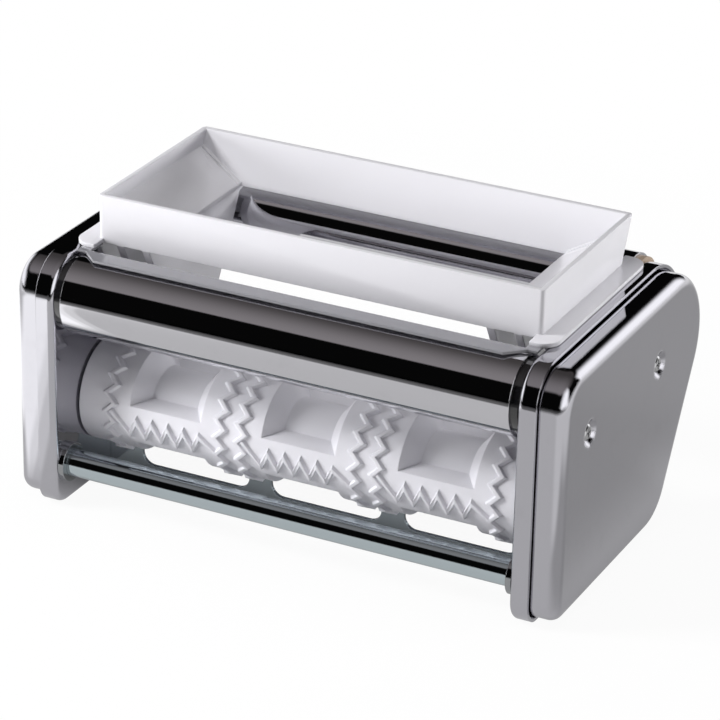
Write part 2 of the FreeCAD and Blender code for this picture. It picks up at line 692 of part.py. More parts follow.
hopper = hopper.cut([corner, left(corner), foot_cut])
save("hopper", hopper.removeSplitter())

# --- dough strip over the front tube ----------------------------------------------------------
strip_z = front_tube_z + tube_r + strip_gap
strip_y = (y_front_tube - strip_front_step, y_front_tube + strip_rear_step)
ear_y = (y_front_tube + strip_ear_step, y_front - strip_ear_gap)
ear_x = (rim_x - hopper_wall, x_in - strip_ear_clear)
outline = [(x_in - strip_bevel_from, strip_y[0]), (x_in - strip_bevel_to, ear_y[0]),
           (ear_x[1], ear_y[0]), (ear_x[1], ear_y[1]), (ear_x[0], ear_y[1]),
           (ear_x[0], strip_y[1])]
outline += [(-x, y) for x, y in outline[::-1]]
strip = prism([Vector(x, y, strip_z) for x, y in outline], Vector(0, 0, strip_t))
clear = box(-x_face, x_face, flange_y[0], depth / 2, flange_z, flange_z + strip_t + 1)
save("dough_strip", strip.cut(clear))
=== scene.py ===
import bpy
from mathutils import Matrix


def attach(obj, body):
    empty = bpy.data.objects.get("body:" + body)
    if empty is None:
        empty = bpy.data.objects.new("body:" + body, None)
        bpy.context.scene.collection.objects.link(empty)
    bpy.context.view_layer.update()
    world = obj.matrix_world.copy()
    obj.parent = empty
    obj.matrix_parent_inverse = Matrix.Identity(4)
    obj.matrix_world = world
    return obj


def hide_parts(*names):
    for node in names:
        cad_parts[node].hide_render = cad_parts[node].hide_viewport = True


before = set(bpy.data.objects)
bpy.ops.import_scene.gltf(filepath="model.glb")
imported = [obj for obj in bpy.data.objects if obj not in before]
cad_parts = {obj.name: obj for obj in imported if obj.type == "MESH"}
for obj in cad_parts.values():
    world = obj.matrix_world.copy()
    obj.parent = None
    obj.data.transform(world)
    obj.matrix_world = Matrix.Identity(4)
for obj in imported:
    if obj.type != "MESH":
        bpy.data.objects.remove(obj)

"""Dresses a hand-cranked ravioli attachment and stands it in a small studio.

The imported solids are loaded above. Each sub-assembly of the machine is a class
that gives its solids their finishes. The filling hopper's class also rounds the
edges of its two mouldings. The studio class sets the table, the room, the lamps
and the camera.
"""
import logging
import math
from dataclasses import dataclass
from enum import Enum
from typing import Optional, Sequence, Union

import bmesh
import bpy
from mathutils import Matrix, Vector

MM = 0.001
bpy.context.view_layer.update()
log = logging.getLogger("ravioli_attachment")

Colour = tuple[float, float, float]
Place = tuple[float, float, float]
Span = tuple[float, float]
Number = Union[float, int]

WHITE: Colour = (1.0, 1.0, 1.0)


# ---------------------------------------------------------------- shader maths


class Kind(Enum):
    """What a shader signal carries."""

    VALUE = "value"
    VECTOR = "vector"
    COLOUR = "colour"


class Blend(Enum):
    """The ways in which two signals are put together."""

    MIX = "MIX"
    ADD = "ADD"
    SUBTRACT = "SUBTRACT"
    MULTIPLY = "MULTIPLY"
    MAXIMUM = "MAXIMUM"


class Axis(Enum):
    """The directions of the frame: to the right, to the back and up."""

    ACROSS = "X"
    DEEP = "Y"
    HEIGHT = "Z"


class Ray(Enum):
    """The kinds of ray that a surface tells apart."""

    CAMERA = "Is Camera Ray"
    GLOSSY = "Is Glossy Ray"
    TRANSMISSION = "Is Transmission Ray"


class Signal:
    """A shader socket that takes part in Python expressions."""

    def __init__(self, graph: "Graph", socket: Optional[bpy.types.NodeSocket],
                 kind: Kind = Kind.VALUE) -> None:
        """Wraps a socket.

        Args:
            graph: The material graph that the socket belongs to.
            socket: The output socket, or nothing for a node that has none.
            kind: What the socket carries.
        """
        self.graph = graph
        self.socket = socket
        self.kind = kind

    def _join(self, blend: Blend, left: "Operand", right: "Operand") -> "Signal":
        """Puts two operands together with the node that suits what they carry.

        Args:
            blend: The operation.
            left: The first operand.
            right: The second operand.

        Returns:
            The signal that comes out.
        """
        kinds = {o.kind for o in (left, right) if isinstance(o, Signal)}
        if Kind.COLOUR in kinds:
            return self.graph.mix(1.0, left, right, blend)
        if Kind.VECTOR in kinds:
            return self.graph.node("ShaderNodeVectorMath", {"operation": blend.value},
                                   {0: _spread(left), 1: _spread(right)}, kind=Kind.VECTOR)
        return self.graph.node("ShaderNodeMath", {"operation": blend.value},
                               {0: left, 1: right})

    def __add__(self, other: "Operand") -> "Signal":
        """Adds another signal or number."""
        return self._join(Blend.ADD, self, other)

    def __radd__(self, other: "Operand") -> "Signal":
        """Adds this signal to a number."""
        return self._join(Blend.ADD, other, self)

    def __sub__(self, other: "Operand") -> "Signal":
        """Takes another signal or number away."""
        return self._join(Blend.SUBTRACT, self, other)

    def __rsub__(self, other: "Operand") -> "Signal":
        """Takes this signal away from a number."""
        return self._join(Blend.SUBTRACT, other, self)

    def __mul__(self, other: "Operand") -> "Signal":
        """Multiplies by another signal or number."""
        return self._join(Blend.MULTIPLY, self, other)

    def __rmul__(self, other: "Operand") -> "Signal":
        """Multiplies a number by this signal."""
        return self._join(Blend.MULTIPLY, other, self)

    def __or__(self, other: "Operand") -> "Signal":
        """Takes the larger of this signal and another, or a number."""
        return self._join(Blend.MAXIMUM, self, other)

    def __ror__(self, other: "Operand") -> "Signal":
        """Takes the larger of a number and this signal."""
        return self._join(Blend.MAXIMUM, other, self)

    def between(self, low: float, high: float) -> "Signal":
        """Spreads a range of this signal smoothly over 0 to 1.

        Args:
            low: The value that becomes 0.
            high: The value that becomes 1.

        Returns:
            The spread value.
        """
        return self.graph.node("ShaderNodeMapRange", {"interpolation_type": "SMOOTHSTEP"},
                               {"Value": self, "From Min": low, "From Max": high})

    def until(self, low: float, high: float) -> "Signal":
        """Falls smoothly from 1 to 0 over a range of this signal."""
        return 1.0 - self.between(low, high)


Operand = Union[Signal, Number, Sequence[float]]


def _spread(operand: Operand) -> Operand:
    """Gives a lone number three equal components."""
    return (operand,) * 3 if isinstance(operand, (int, float)) else operand


class Graph:
    """The node tree of one material or of the world."""

    # A Mix node has a row of sockets for each kind of data. These are the colours'.
    MIX_FACTOR, MIX_FIRST, MIX_SECOND, MIX_RESULT = 0, 6, 7, 2

    def __init__(self, tree: bpy.types.NodeTree) -> None:
        """Empties a node tree and takes it over."""
        self.tree = tree
        tree.nodes.clear()

    def node(self, kind_name: str, settings: Optional[dict] = None,
             sockets: Optional[dict] = None, out: Union[int, str] = 0,
             kind: Kind = Kind.VALUE) -> Signal:
        """Makes a node, sets its settings, and then fills its sockets.

        Args:
            kind_name: Blender's name for the node's type.
            settings: Attributes of the node, such as its operation.
            sockets: Values or signals by the input's name or place.
            out: The name or place of the output that is wanted.
            kind: What that output carries.

        Returns:
            The output as a signal.
        """
        made = self.tree.nodes.new(kind_name)
        for name, value in (settings or {}).items():
            setattr(made, name, value)
        for name, value in (sockets or {}).items():
            entry = made.inputs[name]
            if isinstance(value, Signal):
                self.tree.links.new(value.socket, entry)
            else:
                self._fill(entry, value)
        return Signal(self, made.outputs[out] if len(made.outputs) else None, kind)

    @staticmethod
    def _fill(entry: bpy.types.NodeSocket, value: Operand) -> None:
        """Writes a constant into a socket of any width.

        Args:
            entry: The input socket.
            value: A number, or the components of a vector or colour.
        """
        if hasattr(entry.default_value, "__len__"):
            width = len(entry.default_value)
            parts = list(value) if not isinstance(value, (int, float)) else [value] * width
            entry.default_value = (parts + [1.0] * width)[:width]
        else:
            entry.default_value = value

    def mix(self, factor: Operand, first: Operand, second: Operand,
            blend: Blend = Blend.MIX) -> Signal:
        """Mixes two colours.

        Args:
            factor: How much of the second is taken.
            first: The first colour.
            second: The second colour.
            blend: The way of mixing.

        Returns:
            The mixed colour.
        """
        return self.node("ShaderNodeMix", {"data_type": "RGBA", "blend_type": blend.value},
                         {self.MIX_FACTOR: factor, self.MIX_FIRST: first,
                          self.MIX_SECOND: second}, out=self.MIX_RESULT, kind=Kind.COLOUR)

    def place(self) -> Signal:
        """Gives the point on the part, in metres, in the part's own frame."""
        return self.node("ShaderNodeTexCoord", out="Object", kind=Kind.VECTOR)

    def noise(self, scale: float, detail: float = 2.0, where: Optional[Signal] = None,
              roughness: float = 0.5) -> Signal:
        """Gives a cloudy value from 0 to 1.

        Args:
            scale: Clouds per metre.
            detail: How many finer layers are added.
            where: The point that is looked up, or nothing for the point on the part.
            roughness: How strong the finer layers are.

        Returns:
            The cloudy value.
        """
        return self.node("ShaderNodeTexNoise", None,
                         {"Vector": where or self.place(), "Scale": scale, "Detail": detail,
                          "Roughness": roughness})

    def bump(self, height: Signal, depth: float, strength: float = 1.0,
             under: Optional[Signal] = None) -> Signal:
        """Turns a height into a surface normal.

        Args:
            height: The height, from 0 to 1.
            depth: What a height of 1 stands for, in metres.
            strength: How much of the effect is kept.
            under: A normal that this one is laid over.

        Returns:
            The normal.
        """
        sockets = {"Height": height, "Distance": depth, "Strength": strength}
        if under:
            sockets["Normal"] = under
        return self.node("ShaderNodeBump", None, sockets, out="Normal", kind=Kind.VECTOR)

    def rounded(self, radius: float, samples: int = 4) -> Signal:
        """Gives the normal of a surface whose edges look rounded.

        Args:
            radius: The edge radius, in metres.
            samples: How finely the rounding is worked out.

        Returns:
            The rounded normal.
        """
        return self.node("ShaderNodeBevel", {"samples": samples}, {"Radius": radius},
                         out="Normal", kind=Kind.VECTOR)

    def part_of(self, where: Signal, axis: Axis) -> Signal:
        """Gives one component of a vector."""
        return self.node("ShaderNodeSeparateXYZ", None, {0: where}, out=axis.value)

    def size_of(self, value: Signal) -> Signal:
        """Gives a value without its sign."""
        return self.node("ShaderNodeMath", {"operation": "ABSOLUTE"}, {0: value})

    def is_ray(self, ray: Ray) -> Signal:
        """Gives 1 to rays of one kind and 0 to all others."""
        return self.node("ShaderNodeLightPath", out=ray.value)


# -------------------------------------------------------------------- finishes


def dimmed(colour: Colour, share: float) -> Colour:
    """Darkens a colour to a share of its brightness."""
    return tuple(c * share for c in colour)


@dataclass(frozen=True)
class Finish:
    """What every finish has. Scales are marks per metre, and depths are metres."""

    name: str
    colour: Colour

    def paint(self, graph: Graph) -> dict[str, Operand]:
        """Works out the sockets of the surface shader. Each finish has its own."""
        raise NotImplementedError

    def material(self) -> bpy.types.Material:
        """Builds the material once, and gives the same one after that.

        Returns:
            The finished material.
        """
        made = bpy.data.materials.get(self.name)
        if made:
            return made
        made = bpy.data.materials.new(self.name)
        made.use_nodes = True
        graph = Graph(made.node_tree)
        surface = graph.node("ShaderNodeBsdfPrincipled", None, self.paint(graph))
        graph.node("ShaderNodeOutputMaterial", None, {"Surface": surface})
        return made


@dataclass(frozen=True)
class PolishedChrome(Finish):
    """Plated sheet or tube: a mirror with a slow ripple, haze and fine wiping marks.

    The haze lies partly in clouds and partly even all over.
    """

    haze: float = 0.05
    cloudy_share: float = 0.5
    even_share: float = 0.35
    cloud_scale: float = 26.0
    ripple: float = 0.00004
    ripple_scale: float = 17.0
    wiping: float = 0.02
    wiping_scale: float = 70.0
    wiping_span: Span = (0.5, 0.78)
    wiping_cover: float = 0.5
    wiping_shade: float = 0.93
    scratches: float = 0.012
    scratch_scale: float = 900.0
    edge_radius: float = 0.0005

    def paint(self, graph: Graph) -> dict[str, Operand]:
        """Works out the sockets of plated metal.

        Args:
            graph: The material's graph.

        Returns:
            Values and signals by socket name.
        """
        cloud = graph.noise(self.cloud_scale, detail=2.0)
        fine = graph.noise(self.scratch_scale, detail=3.0, roughness=0.6)
        smear = graph.noise(self.wiping_scale, detail=4.0,
                            roughness=0.65).between(*self.wiping_span)
        colour = graph.mix(smear * self.wiping_cover, self.colour,
                           dimmed(self.colour, self.wiping_shade))
        rough = (cloud * self.haze * self.cloudy_share + smear * self.wiping
                 + fine * self.scratches + self.haze * self.even_share)
        slow = graph.noise(self.ripple_scale, detail=1.0)
        return {"Base Color": colour, "Metallic": 1.0, "Roughness": rough,
                "Normal": graph.bump(slow, self.ripple, under=graph.rounded(self.edge_radius))}


@dataclass(frozen=True)
class TurnedSteel(Finish):
    """Steel that comes off a lathe: fine rings along its axis, and faint stains."""

    roughness: float = 0.24
    rings: float = 2600.0
    ring_drift: float = 30.0
    ring_haze: float = 0.14
    ring_depth: float = 0.000006
    stain_scale: float = 180.0
    stain_span: Span = (0.45, 0.75)
    stain_cover: float = 0.5
    stain_shade: float = 0.78
    stain_haze: float = 0.1
    polish: float = 0.08

    def paint(self, graph: Graph) -> dict[str, Operand]:
        """Works out the sockets of turned steel.

        Args:
            graph: The material's graph.

        Returns:
            Values and signals by socket name.
        """
        stretched = graph.place() * (self.rings, self.ring_drift, self.ring_drift)
        rings = graph.noise(1.0, detail=2.0, where=stretched)
        stain = graph.noise(self.stain_scale, detail=4.0, roughness=0.6)
        colour = graph.mix(stain.between(*self.stain_span) * self.stain_cover, self.colour,
                           dimmed(self.colour, self.stain_shade))
        rough = rings * self.ring_haze + stain * self.stain_haze + self.roughness - self.polish
        return {"Base Color": colour, "Metallic": 1.0, "Roughness": rough,
                "Normal": graph.bump(rings, self.ring_depth)}


@dataclass(frozen=True)
class SinteredBronze(Finish):
    """Bearing bronze: fine grains with dark pores between them."""

    roughness: float = 0.42
    grain_scale: float = 3200.0
    grain_depth: float = 0.00004
    pore_span: Span = (0.42, 0.7)
    pore_shade: float = 0.45
    pore_haze: float = 0.25

    def paint(self, graph: Graph) -> dict[str, Operand]:
        """Works out the sockets of bearing bronze.

        Args:
            graph: The material's graph.

        Returns:
            Values and signals by socket name.
        """
        grain = graph.node("ShaderNodeTexVoronoi", {"feature": "F1"},
                           {"Vector": graph.place(), "Scale": self.grain_scale}, out="Distance")
        pores = grain.between(*self.pore_span)
        colour = graph.mix(pores, self.colour, dimmed(self.colour, self.pore_shade))
        return {"Base Color": colour, "Metallic": 1.0,
                "Roughness": pores * self.pore_haze + self.roughness,
                "Normal": graph.bump(grain, self.grain_depth, strength=0.5)}


@dataclass(frozen=True)
class MouldedPlastic(Finish):
    """Injection-moulded plastic: flow marks, fine grain and rounded edges."""

    roughness: float = 0.3
    grain_scale: float = 2400.0
    grain_depth: float = 0.000012
    grain_haze: float = 0.08
    coat: float = 0.0
    coat_roughness: float = 0.08
    edge_radius: float = 0.0004
    flow: float = 0.03
    flow_scale: float = 22.0
    flow_stretch: Place = (0.35, 1.0, 1.0)
    flow_span: Span = (0.35, 0.75)
    flow_haze: float = 0.1
    polish: float = 0.09

    def paint(self, graph: Graph) -> dict[str, Operand]:
        """Works out the sockets of moulded plastic.

        Args:
            graph: The material's graph.

        Returns:
            Values and signals by socket name.
        """
        marks = graph.noise(self.flow_scale, detail=3.0,
                            where=graph.place() * self.flow_stretch)
        grain = graph.noise(self.grain_scale, detail=2.0)
        colour = graph.mix(marks.between(*self.flow_span), self.colour,
                           dimmed(self.colour, 1.0 - 2.0 * self.flow))
        rough = marks * self.flow_haze + grain * self.grain_haze + self.roughness - self.polish
        made = {"Base Color": colour, "Roughness": rough, "Specular IOR Level": 0.5,
                "Normal": graph.bump(grain, self.grain_depth,
                                     under=graph.rounded(self.edge_radius))}
        if self.coat:
            made |= {"Coat Weight": self.coat, "Coat Roughness": self.coat_roughness}
        return made


TUBE_CHROME = PolishedChrome("tube_chrome", (0.64, 0.635, 0.665), haze=0.05)
COVER_CHROME = PolishedChrome("cover_chrome", (0.54, 0.535, 0.57), haze=0.06,
                              edge_radius=0.0014)
SHEET_CHROME = PolishedChrome("sheet_chrome", (0.53, 0.525, 0.56), haze=0.07)
GUIDE_CHROME = PolishedChrome("guide_chrome", (0.50, 0.56, 0.60), haze=0.12)
# The tie rods' teal tint is painted reflection of the teal comb beside them.
ROD_CHROME_PAINTED_TEAL = PolishedChrome("rod_chrome_painted_teal", (0.54, 0.61, 0.64), haze=0.05)
COLLAR_CHROME = PolishedChrome("collar_chrome", (0.36, 0.37, 0.38), haze=0.09)
SCREW_STEEL = TurnedSteel("screw_steel", (0.66, 0.66, 0.67), roughness=0.2)
SHAFT_STEEL = TurnedSteel("shaft_steel", (0.55, 0.55, 0.56), roughness=0.26)
GEAR_STEEL = TurnedSteel("gear_steel", (0.45, 0.45, 0.45), roughness=0.36, rings=1400.0)
BRONZE = SinteredBronze("bearing_bronze", (0.56, 0.38, 0.19))
DARK_PLASTIC = MouldedPlastic("dark_ring_plastic", (0.006, 0.006, 0.007), roughness=0.10,
                              coat=1.0)
TAN_PLASTIC = MouldedPlastic("tan_ring_plastic", (0.50, 0.38, 0.28), roughness=0.35)
ROLLER_WHITE = MouldedPlastic("roller_white", (0.80, 0.795, 0.845), roughness=0.36,
                              edge_radius=0.0006)
HOPPER_WHITE = MouldedPlastic("hopper_white", (0.81, 0.805, 0.845), roughness=0.22, coat=0.25,
                              grain_depth=0.000006)
# The dough strip is the same white plastic as the hopper, coloured dark grey as painted shade
# from the hopper above it.
STRIP_PAINTED_SHADE_GREY = MouldedPlastic("strip_painted_shade_grey", (0.25, 0.25, 0.272), roughness=0.14, coat=1.0,
                             grain_depth=0.000005)


# ------------------------------------------------------------------- workbench

# Points nearer than this are one point, in metres.
WELD_DISTANCE = 0.000002
# Faces that turn by less than this are one face, in degrees.
FLAT_TURN = 0.2
# Edges that turn by more than this are rounded, in degrees, in this many steps.
SHARP_TURN = 28.0
ROUNDING_STEPS = 3


def give_finish(names: Sequence[str], finish: Finish) -> None:
    """Gives solids a finish.

    Args:
        names: The solids.
        finish: What they are finished in.
    """
    for name in names:
        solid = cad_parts[name]
        if not solid.material_slots:
            solid.data.materials.append(finish.material())
        for slot in solid.material_slots:
            slot.material = finish.material()
        log.info("%s is finished in %s", name, finish.name)


def softened(name: str, piece_name: str, body: str, finish: Finish,
             radius: float) -> bpy.types.Object:
    """Copies a solid with its edges rounded as a mould leaves them.

    The rounding is held back where an edge is too short for the whole radius.

    Args:
        name: The solid.
        piece_name: The new piece's name.
        body: The body that it rides on.
        finish: What it is finished in.
        radius: The edge radius that is asked for, in metres.

    Returns:
        The rounded piece.
    """
    mesh = bpy.data.meshes.new(piece_name)
    work = bmesh.new()
    work.from_mesh(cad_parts[name].data)
    bmesh.ops.remove_doubles(work, verts=work.verts, dist=WELD_DISTANCE)
    bmesh.ops.dissolve_limit(work, angle_limit=math.radians(FLAT_TURN), verts=work.verts,
                             edges=work.edges, use_dissolve_boundaries=False)
    for face in work.faces:
        face.smooth = True
    work.to_mesh(mesh)
    work.free()
    mesh.materials.clear()
    mesh.materials.append(finish.material())
    piece = bpy.data.objects.new(piece_name, mesh)
    bpy.context.scene.collection.objects.link(piece)
    rounding = piece.modifiers.new("edge_rounding", "BEVEL")
    rounding.width = radius
    rounding.segments = ROUNDING_STEPS
    rounding.limit_method = "ANGLE"
    rounding.angle_limit = math.radians(SHARP_TURN)
    rounding.harden_normals = True
    rounding.miter_outer = "MITER_ARC"
    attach(piece, body)
    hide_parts(name)
    return piece


# --------------------------------------------------------------- sub-assemblies


class SubAssembly:
    """What every sub-assembly does."""

    def build(self) -> list[bpy.types.Object]:
        """Adds nothing: the solids are shown as they are."""
        return []

    def dress(self) -> None:
        """Gives every solid its finish. Each sub-assembly has its own."""
        raise NotImplementedError


@dataclass
class SideFrames(SubAssembly):
    """The pressed side frames, their outer covers, and what fastens them."""

    plates: tuple[str, ...] = ("left_frame_plate", "right_frame_plate")
    covers: tuple[str, ...] = ("left_cover", "right_cover")
    screws: tuple[str, ...] = ("left_cover_screws", "right_cover_screws")
    standoffs: tuple[str, ...] = ("left_standoffs", "right_standoffs")
    bushes: tuple[str, ...] = ("left_bushes", "right_bushes")

    def dress(self) -> None:
        """Gives each pressing and fastener its metal."""
        give_finish(self.plates, SHEET_CHROME)
        give_finish(self.covers, COVER_CHROME)
        give_finish(self.screws + self.standoffs, SCREW_STEEL)
        give_finish(self.bushes, BRONZE)


@dataclass
class GuideTubes(SubAssembly):
    """The two dough guide tubes between the side frames."""

    tubes: tuple[str, ...] = ("front_guide_tube", "rear_guide_tube")
    front_rings: tuple[str, ...] = ("front_tube_rings",)
    rear_rings: tuple[str, ...] = ("rear_tube_rings",)
    screws: tuple[str, ...] = ("tube_screws",)

    def dress(self) -> None:
        """Gives the tubes chrome, their end rings plastic and their screws steel."""
        give_finish(self.tubes, TUBE_CHROME)
        give_finish(self.front_rings, DARK_PLASTIC)
        give_finish(self.rear_rings, TAN_PLASTIC)
        give_finish(self.screws, SCREW_STEEL)


@dataclass
class TieRods(SubAssembly):
    """The rods that hold the side frames apart."""

    rods: tuple[str, ...] = ("front_tie_rod", "rear_tie_rod")
    collars: tuple[str, ...] = ("tie_rod_collars",)
    nuts: tuple[str, ...] = ("tie_rod_nuts",)

    def dress(self) -> None:
        """Gives the rods and their collars chrome, and their nuts steel."""
        give_finish(self.rods, ROD_CHROME_PAINTED_TEAL)
        give_finish(self.collars, COLLAR_CHROME)
        give_finish(self.nuts, SCREW_STEEL)


@dataclass
class LowerGuides(SubAssembly):
    """The two combs under the rollers."""

    combs: tuple[str, ...] = ("front_lower_guide", "rear_lower_guide")
    screws: tuple[str, ...] = ("lower_guide_screws",)

    def dress(self) -> None:
        """Gives the combs their plated finish, and their screws steel."""
        give_finish(self.combs, GUIDE_CHROME)
        give_finish(self.screws, SCREW_STEEL)


@dataclass
class MouldRollers(SubAssembly):
    """The pair of moulding rollers."""

    rollers: tuple[str, ...] = ("front_mould_roller", "rear_mould_roller")

    def dress(self) -> None:
        """Gives the rollers their satin white."""
        give_finish(self.rollers, ROLLER_WHITE)


@dataclass
class GearTrain(SubAssembly):
    """The shafts, their gears and the clips that hold them."""

    shafts: tuple[str, ...] = ("drive_shaft", "driven_shaft")
    gears: tuple[str, ...] = ("drive_gear", "driven_gear")
    clips: tuple[str, ...] = ("drive_shaft_clip", "driven_shaft_clips")

    def dress(self) -> None:
        """Gives the train its steels."""
        give_finish(self.shafts, SHAFT_STEEL)
        give_finish(self.gears, GEAR_STEEL)
        give_finish(self.clips, SCREW_STEEL)


@dataclass
class FillingHopper(SubAssembly):
    """The lift-off hopper and the dough strip in front of it."""

    edge: float = 0.8 * MM
    strip_edge_share: float = 0.6

    def build(self) -> list[bpy.types.Object]:
        """Rounds the edges of both mouldings, the thin strip's by less."""
        return [
            softened("hopper", "moulded_hopper", "hopper", HOPPER_WHITE,
                     self.edge),
            softened("dough_strip", "moulded_strip", "hopper", STRIP_PAINTED_SHADE_GREY,
                     self.edge * self.strip_edge_share),
        ]

    def dress(self) -> None:
        """Gives the solids that the mouldings replace the same finishes."""
        give_finish(("hopper",), HOPPER_WHITE)
        give_finish(("dough_strip",), STRIP_PAINTED_SHADE_GREY)


# ---------------------------------------------------------------------- studio


@dataclass(frozen=True)
class SoftBox:
    """One soft lamp. Places and sizes are in metres, and the power is in watts."""

    name: str
    where: Place
    aim: Place
    size: tuple[float, float]
    power: float

    def hang(self) -> None:
        """Hangs the lamp. It lights the machine, but no surface mirrors it."""
        data = bpy.data.lights.new(self.name, "AREA")
        data.shape = "RECTANGLE"
        data.size, data.size_y = self.size
        data.energy = self.power
        lamp = bpy.data.objects.new(self.name, data)
        lamp.location = self.where
        towards = Vector(self.aim) - Vector(self.where)
        lamp.rotation_euler = towards.to_track_quat("-Z", "Y").to_euler()
        lamp.visible_glossy = False
        lamp.visible_camera = False
        bpy.context.scene.collection.objects.link(lamp)


@dataclass(frozen=True)
class PaleTable:
    """The wide pale table top, which keeps the machine's shadow.

    The eye sees it plain and white. Mirrored rays see it shaded, and that gives the
    polished metal its bands. Spans are in metres from the middle of the machine, and
    a grey of 1 is white.
    """

    name: str = "pale_table"
    radius: float = 14.0
    corners: int = 96
    drop: float = 0.0002
    paper: tuple[Colour, Colour] = ((0.90, 0.90, 0.90), (0.93, 0.93, 0.93))
    mottle_scale: float = 8.0

    # How much of the table glows by itself near the machine, and how much more far off.
    seen_glow: float = 0.94
    seen_rise: float = 0.06
    seen_reach: Span = (0.13, 0.40)
    mirrored_glow: float = 0.84
    mirrored_rise: float = 0.16
    mirrored_reach: Span = (0.35, 1.5)

    # The painted shade round the machine turns white with distance, and ends in front of it.
    grey: float = 0.61
    grey_reach: Span = (0.30, 0.70)
    front_end: Span = (0.34, 0.38)

    # The painted shadow beneath the machine.
    beneath_across: Span = (0.085, 0.11)
    beneath_deep: Span = (0.03, 0.06)
    beneath_shade: float = 0.8

    # The lighter stripe on the left, which rises in three steps and lies slantwise.
    slant_deep: float = 0.40
    slant_across: float = 0.81
    stripe_steps: tuple[tuple[Span, float], ...] = (
        ((0.0495, 0.0512), 0.28), ((0.0538, 0.0552), 0.32), ((0.0565, 0.0585), 0.34))
    stripe_front: Span = (-0.09, -0.06)
    stripe_side: Span = (0.14, 0.17)
    stripe_end: Span = (0.21, 0.27)

    # The patch on the right, with painted shadow at its back and lighter at its front.
    patch_start: Span = (0.09, 0.13)
    patch_back: Span = (-0.125, -0.095)
    patch_back_end: Span = (0.19, 0.24)
    patch_shade: float = 0.24
    patch_light: float = 0.2

    def lay(self) -> bpy.types.Object:
        """Makes the table top.

        Returns:
            The table top.
        """
        work = bmesh.new()
        bmesh.ops.create_circle(work, cap_ends=True, radius=self.radius, segments=self.corners)
        mesh = bpy.data.meshes.new(self.name)
        work.to_mesh(mesh)
        work.free()
        mesh.materials.append(self._material())
        table = bpy.data.objects.new(self.name, mesh)
        table.location.z = -self.drop
        bpy.context.scene.collection.objects.link(table)
        return table

    def _material(self) -> bpy.types.Material:
        """Makes the matt paper, and what glows for the eye and for mirrored rays.

        Returns:
            The table's material.
        """
        made = bpy.data.materials.new(self.name)
        made.use_nodes = True
        graph = Graph(made.node_tree)
        where = graph.place()
        length = graph.node("ShaderNodeVectorMath", {"operation": "LENGTH"}, {0: where},
                            out="Value")
        mottle = graph.noise(self.mottle_scale, detail=3.0)
        matt = graph.node("ShaderNodeBsdfDiffuse", None,
                          {"Color": graph.mix(mottle, *self.paper)})
        seen = graph.is_ray(Ray.CAMERA)
        mirrored = graph.is_ray(Ray.GLOSSY) | graph.is_ray(Ray.TRANSMISSION)
        shown = graph.mix(mirrored, WHITE, self._shading(graph, where, length))
        glow = graph.node("ShaderNodeEmission", None, {"Color": shown, "Strength": 1.0})
        share = (seen * (length.between(*self.seen_reach) * self.seen_rise + self.seen_glow)
                 + mirrored * (length.between(*self.mirrored_reach) * self.mirrored_rise
                               + self.mirrored_glow))
        surface = graph.node("ShaderNodeMixShader", None, {0: share, 1: matt, 2: glow})
        graph.node("ShaderNodeOutputMaterial", None, {"Surface": surface})
        return made

    def _shading(self, graph: Graph, where: Signal, length: Signal) -> Signal:
        """Works out the greys that mirrored rays see.

        Args:
            graph: The material's graph.
            where: The point on the table.
            length: How far that point is from the middle of the machine.

        Returns:
            The grey.
        """
        across, deep = (graph.part_of(where, axis) for axis in (Axis.ACROSS, Axis.DEEP))
        to_left, to_front = 0.0 - across, 0.0 - deep
        beneath = (graph.size_of(across).until(*self.beneath_across)
                   * graph.size_of(deep).until(*self.beneath_deep))
        aside = deep * self.slant_deep - across * self.slant_across
        first, second, third = (aside.between(*span) * rise for span, rise in self.stripe_steps)
        stripe = first + second + third
        stripe = stripe * (deep.until(*self.stripe_front) | to_left.between(*self.stripe_side))
        stripe = stripe * to_left.until(*self.stripe_end)
        patch = across.between(*self.patch_start)
        back = deep.between(*self.patch_back) * across.until(*self.patch_back_end)
        near = (self.grey + stripe - patch * back * self.patch_shade
                + patch * (1.0 - back) * self.patch_light)
        card = near + (1.0 - near) * length.between(*self.grey_reach)
        return card * (1.0 - beneath * self.beneath_shade) * to_front.until(*self.front_end)


